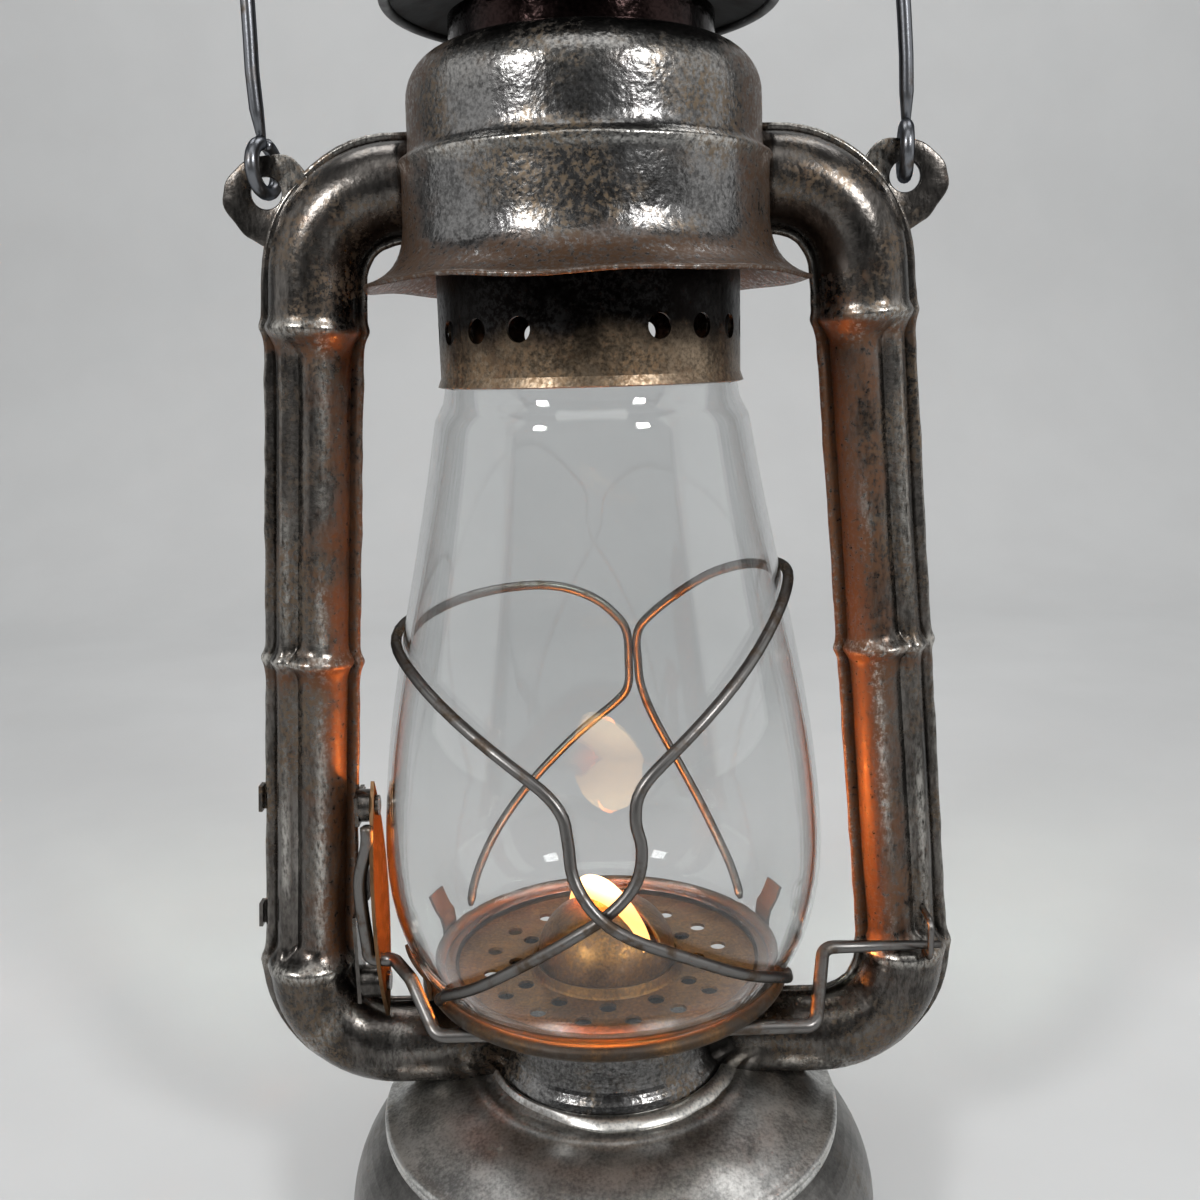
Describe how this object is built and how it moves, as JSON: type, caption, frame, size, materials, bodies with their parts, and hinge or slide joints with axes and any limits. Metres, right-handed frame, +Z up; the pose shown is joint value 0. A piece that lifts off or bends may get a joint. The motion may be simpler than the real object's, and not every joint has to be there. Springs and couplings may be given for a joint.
{
  "type": "hurricane lantern",
  "caption": "Tubular oil lantern: a round tank with a wick burner, a guarded glass globe on a lifting carrier, side tubes up to a hood, a chimney cap and a swinging wire bail.",
  "frame": {"origin": "centre of the standing ring under the tank, on the surface it stands on", "axes": "+Z up along the globe's axis, +X towards the right tube seen from the front, +Y to the back"},
  "size_m": [0.1708, 0.132, 0.4072],
  "materials": {
    "tinplate": "aged tinned steel, grey-black with brown patches and worn bright edges",
    "dark_tinplate": "dark oxidised tinned steel",
    "rusted_tinplate": "brown speckled rust over dark steel",
    "oxidised_brass": "brown oxidised brass",
    "copper_brown_plate": "copper-brown stained plate",
    "wire_steel": "smooth dark steel wire",
    "clear_glass": "clear, faintly green",
    "cotton_wick": "woven cotton",
    "cork_gasket": "dark matt seal"
  },
  "bodies": {
    "frame": {"tank_bowl": "tinplate", "tank_top": "tinplate", "filler_neck": "oxidised_brass", "air_collar": "dark_tinplate", "burner_body": "oxidised_brass", "burner_cone": "oxidised_brass", "wick_tube": "oxidised_brass", "left_tube_front": "tinplate", "left_tube_back": "tinplate", "right_tube_front": "tinplate", "right_tube_back": "tinplate", "hood_shell": "rusted_tinplate", "chamber_floor": "rusted_tinplate", "intake_collar": "dark_tinplate", "upper_strap": "dark_tinplate", "lower_strap": "dark_tinplate", "guide_plate": "copper_brown_plate", "crank_staple": "wire_steel"},
    "bail": {"bail": "wire_steel"},
    "globe_carrier": {"gallery_plate": "rusted_tinplate", "globe": "clear_glass", "guard_wire_left": "wire_steel", "guard_wire_right": "wire_steel", "globe_clips": "rusted_tinplate"},
    "lift_crank": {"crank_wire": "wire_steel", "thumb_tab": "dark_tinplate"},
    "chimney": {"chimney_ring": "rusted_tinplate", "chimney_tube": "dark_tinplate", "canopy": "dark_tinplate", "cap_dome": "dark_tinplate", "cap_loop": "wire_steel"},
    "wick_wheel": {"wick_shaft": "wire_steel", "wick_sprockets": "oxidised_brass", "wick_knob": "oxidised_brass"},
    "wick": {"wick": "cotton_wick"},
    "filler_cap": {"filler_cap": "oxidised_brass", "cap_gasket": "cork_gasket"}
  },
  "joints": [
    {"name": "bail_swing", "type": "hinge", "parent": "frame", "child": "bail", "pos_m": [0, 0, 0.2705], "axis": [1, 0, 0], "range_deg": [-150, 150]},
    {"name": "globe_lift", "type": "slide", "parent": "frame", "child": "globe_carrier", "axis": [0, 0, 1], "range_m": [0, 0.018]},
    {"name": "crank_turn", "type": "hinge", "parent": "frame", "child": "lift_crank", "pos_m": [0, -0.0105, 0.088], "axis": [1, 0, 0], "range_deg": [-52, 0]},
    {"name": "chimney_lift", "type": "slide", "parent": "globe_carrier", "child": "chimney", "axis": [0, 0, 1], "range_m": [0, 0.018]},
    {"name": "wick_turn", "type": "hinge", "parent": "frame", "child": "wick_wheel", "pos_m": [0.00389, 0.00389, 0.068], "axis": [0.7071, -0.7071, 0], "range_deg": [-86, 57]},
    {"name": "wick_raise", "type": "slide", "parent": "frame", "child": "wick", "axis": [0, 0, 1], "range_m": [-0.004, 0.0061]},
    {"name": "cap_turn", "type": "hinge", "parent": "frame", "child": "filler_cap", "pos_m": [0, 0.043, 0.0514], "axis": [0, 0.3763, 0.9265], "range_deg": [0, 540]}
  ],
  "couplings": [
    {"joint": "crank_turn", "follows": "globe_lift", "rad_per_m": -50},
    {"joint": "wick_raise", "follows": "wick_turn", "m_per_rad": -0.004}
  ]
}
